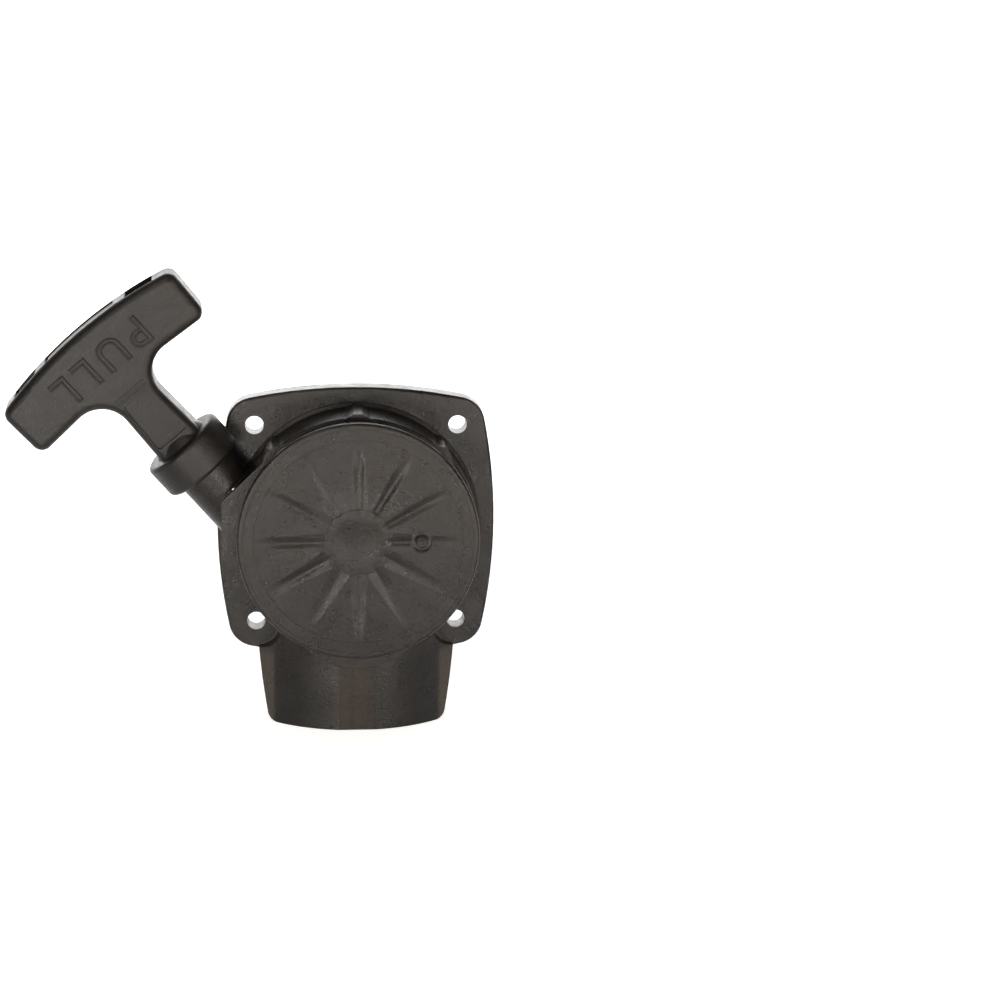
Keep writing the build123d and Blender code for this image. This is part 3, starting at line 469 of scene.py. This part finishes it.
# ------------------------------------------------------------------ braided rope to the handle
def rope_route():
    """Points along the rope's centre line, each with the rope's direction there."""
    centre = Vector((0, -GROOVE_DEPTH, 0))
    points = []
    steps = 200
    for step in range(steps):
        turn = START_TURN + (LEAVE_TURN - START_TURN) * step / steps
        outwards = Vector((math.cos(turn), 0, math.sin(turn)))
        points.append((centre + outwards * GROOVE_RADIUS, Vector((math.sin(turn), 0, -math.cos(turn)))))
    leave = centre + Vector((math.cos(LEAVE_TURN), 0, math.sin(LEAVE_TURN))) * GROOVE_RADIUS
    heading = Vector((math.sin(LEAVE_TURN), 0, -math.cos(LEAVE_TURN)))
    run = (FOOT - leave).dot(ACROSS) / heading.dot(ACROSS)
    corner = leave + heading * run
    bend = heading.angle(PULL)
    setback = BEND_RADIUS * math.tan(bend / 2)
    steps = 90
    for step in range(steps):
        points.append((leave + heading * (run - setback) * step / steps, heading))
    bend_centre = corner + (PULL - heading).normalized() * BEND_RADIUS / math.cos(bend / 2)
    first = corner - heading * setback - bend_centre
    steps = 60
    for step in range(steps):
        turn = bend * step / steps
        outwards = first * math.cos(turn) + heading * BEND_RADIUS * math.sin(turn)
        direction = heading * math.cos(turn) - first.normalized() * math.sin(turn)
        points.append((bend_centre + outwards, direction))
    curved = len(points)
    last = corner + PULL * setback
    end = FOOT + PULL * ROPE_END
    steps = 260
    for step in range(steps + 1):
        points.append((last.lerp(end, step / steps), PULL))
    return points, curved


def braided_rope():
    """Tube along the route. The braid stands in relief where the rope keeps its length."""
    points, curved = rope_route()
    around = 40
    frames = [None] * len(points)
    side = ACROSS.copy()
    for index in range(len(points) - 1, -1, -1):
        heading = points[index][1]
        side = (side - heading * side.dot(heading)).normalized()
        frames[index] = (side.copy(), heading.cross(side))
    flip = 1 if frames[-1][1].dot(-FACE) > 0 else -1
    distances = [0.0] * len(points)
    distances[curved] = (points[curved][0] - FOOT).dot(PULL)
    for index in range(curved - 1, -1, -1):
        distances[index] = distances[index + 1] - (points[index + 1][0] - points[index][0]).length
    for index in range(curved + 1, len(points)):
        distances[index] = distances[index - 1] + (points[index][0] - points[index - 1][0]).length
    build = bmesh.new()
    along_layer = build.verts.layers.float.new("rope_along")
    turn_layer = build.verts.layers.float.new("rope_turn")
    straight_layer = build.verts.layers.float.new("rope_straight")
    rings = []
    for index, (centre, _) in enumerate(points):
        across, rear = frames[index]
        distance = distances[index]
        ring = []
        for corner in range(around):
            turn = (corner + 0.5) / around - 0.5
            first = math.sin(2 * math.pi * BRAID_YARNS * (turn + distance / BRAID_PITCH))
            second = math.sin(2 * math.pi * BRAID_YARNS * (turn - distance / BRAID_PITCH))
            relief = 0.09 * MM * (1 - abs(first * second)) if index < curved else 0.05 * MM
            angle = 2 * math.pi * turn
            outwards = across * math.cos(angle) + rear * (flip * math.sin(angle))
            vertex = build.verts.new(centre + outwards * (ROPE_RADIUS - relief))
            vertex[along_layer] = distance
            vertex[turn_layer] = turn
            vertex[straight_layer] = 1.0 if index >= curved else 0.0
            ring.append(vertex)
        rings.append(ring)
    for near, far in zip(rings, rings[1:]):
        for corner in range(around):
            after = (corner + 1) % around
            build.faces.new((near[corner], near[after], far[after], far[corner]))
    build.faces.new(list(reversed(rings[0])))
    build.faces.new(rings[-1])
    bmesh.ops.recalc_face_normals(build, faces=build.faces)
    mesh = bpy.data.meshes.new("braided_rope")
    build.to_mesh(mesh)
    build.free()
    for face in mesh.polygons:
        face.use_smooth = True
    mesh.materials.append(MATERIALS["rope"])
    rope = bpy.data.objects.new("braided_rope", mesh)
    bpy.context.scene.collection.objects.link(rope)
    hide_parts("rope_run")
    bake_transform(rope)


braided_rope()


# ------------------------------------------------------------------ raised word on the handle
def raised_word(name, facing):
    """Outlined capitals raised on the bar. The letters' tops point towards the collar."""
    curve = bpy.data.curves.new(name + "_curve", "FONT")
    curve.body = "PULL"
    curve.size = 12.4 * MM
    curve.space_character = 1.30
    curve.align_x = "CENTER"
    curve.align_y = "CENTER"
    curve.fill_mode = "NONE"
    curve.bevel_depth = 0.34 * MM
    curve.bevel_resolution = 2
    text = bpy.data.objects.new(name + "_text", curve)
    bpy.context.scene.collection.objects.link(text)
    up = -PULL
    out = FACE * facing
    right = up.cross(out)
    turn = Matrix((right, up, out)).transposed().to_4x4()
    middle = FOOT + PULL * WORD_PLACE + out * BAR_FACE
    text.matrix_world = Matrix.Translation(middle) @ turn
    bpy.context.view_layer.update()
    evaluated = text.evaluated_get(bpy.context.evaluated_depsgraph_get())
    mesh = bpy.data.meshes.new_from_object(evaluated)
    mesh.transform(text.matrix_world)
    word = bpy.data.objects.new(name, mesh)
    bpy.context.scene.collection.objects.link(word)
    bpy.data.objects.remove(text)
    for face in mesh.polygons:
        face.use_smooth = True
    mesh.materials.clear()
    mesh.materials.append(MATERIALS["handle_nylon"])
    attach(word, "handle")


raised_word("raised_word_front", 1)
raised_word("raised_word_back", -1)


# ------------------------------------------------------------------ floor, lights and camera
def add_floor(height):
    """Plain pale sheet that rises in a wide curve behind the object and far in front of it."""
    mesh = bpy.data.meshes.new("floor_sheet")
    grid = bmesh.new()
    front, back, bend, half_width = -3.0, 1.2, 0.8, 3.5
    curve = []
    for step in range(13):
        turn = math.radians(7.5 * step)
        curve.append((bend * math.sin(turn), bend * (1 - math.cos(turn))))
    profile = [(front - bend, 2.6)] + [(front - y, z) for y, z in reversed(curve)]
    profile += [(back + y, z) for y, z in curve] + [(back + bend, 3.5)]
    sides = (-half_width, half_width)
    rows = [[grid.verts.new((x, y, z + height)) for y, z in profile] for x in sides]
    for index in range(len(profile) - 1):
        grid.faces.new((rows[0][index], rows[1][index], rows[1][index + 1], rows[0][index + 1]))
    grid.to_mesh(mesh)
    grid.free()
    for face in mesh.polygons:
        face.use_smooth = True
    sheet = bpy.data.objects.new("floor_sheet", mesh)
    bpy.context.scene.collection.objects.link(sheet)
    paint = Paint("pale_floor")
    base = paint.colours(paint.noise(9, 2, 0.5), (0.3, (0.83, 0.83, 0.83)), (0.7, (0.86, 0.86, 0.86)))
    look = paint.finish(
        Base_Color=base, Roughness=0.85, Emission_Color=(1, 1, 1, 1), Emission_Strength=0.58
    )
    mesh.materials.append(look)


def add_light(name, place, target, size, power, colour, spread=180):
    data = bpy.data.lights.new(name, "AREA")
    data.shape = "RECTANGLE"
    data.size, data.size_y = size
    data.energy = power
    data.color = colour
    data.spread = math.radians(spread)
    light = bpy.data.objects.new(name, data)
    light.location = place
    light.rotation_euler = (Vector(target) - Vector(place)).to_track_quat("-Z", "Y").to_euler()
    bpy.context.scene.collection.objects.link(light)


add_floor(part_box("starter_case")[0].z - 0.05 * MM)
WARM = (1.0, 0.95, 0.88)
add_light("key", (-0.45, -0.75, 0.75), (0, 0, 0), (0.35, 0.35), 3.2, WARM)
add_light("fill", (0.70, -0.70, 0.30), (0, 0, 0), (0.30, 0.60), 2, WARM)
add_light("low_left", (-0.15, -0.42, -0.025), (0, 0, 0), (0.12, 0.05), 1.3, WARM)
add_light("low_right", (0.17, -0.42, -0.015), (0, 0, 0), (0.10, 0.06), 1.1, WARM)
add_light("back", (0.1, 1.12, 0.34), (0, 0, 0), (1.0, 0.28), 0.6, WARM)
add_light("backdrop", (0.0, 0.7, 1.6), (0, 1.6, 0.3), (1.6, 0.6), 36, (1, 1, 1), 100)

world = bpy.data.worlds.new("studio")
world.use_nodes = True
world.node_tree.nodes["Background"].inputs["Color"].default_value = (1, 0.955, 0.90, 1)
world.node_tree.nodes["Background"].inputs["Strength"].default_value = 0.16
bpy.context.scene.world = world
bpy.context.scene.view_settings.view_transform = "Standard"

# The camera stands about 14 degrees above the reel's axis and a little to the left of it, and is
# turned so that the starter lies left of the middle of a 1000 x 1000 picture.
ELEVATION = math.radians(14.3)
AZIMUTH = math.radians(1.8)
DISTANCE = 0.685
FOCAL_PIXELS = 2288.0
TURN_ASIDE = math.atan(143.7 / FOCAL_PIXELS)
TILT_UP = math.atan(23.1 / FOCAL_PIXELS)
look_at = Vector((0, -0.007, 0))
camera_data = bpy.data.cameras.new("camera")
camera_data.sensor_width = 36
camera_data.lens = FOCAL_PIXELS * 36 / 1000
camera = bpy.data.objects.new("camera", camera_data)
level = math.cos(ELEVATION)
back = Vector((-level * math.sin(AZIMUTH), -level * math.cos(AZIMUTH), math.sin(ELEVATION)))
straight_look = (-back).to_track_quat("-Z", "Y").to_matrix()
aside = Euler((TILT_UP, -TURN_ASIDE, 0)).to_matrix()
camera.matrix_world = Matrix.Translation(look_at + back * DISTANCE) @ (straight_look @ aside).to_4x4()
camera_data.clip_start, camera_data.clip_end = 0.01, 20
bpy.context.scene.collection.objects.link(camera)
bpy.context.scene.camera = camera
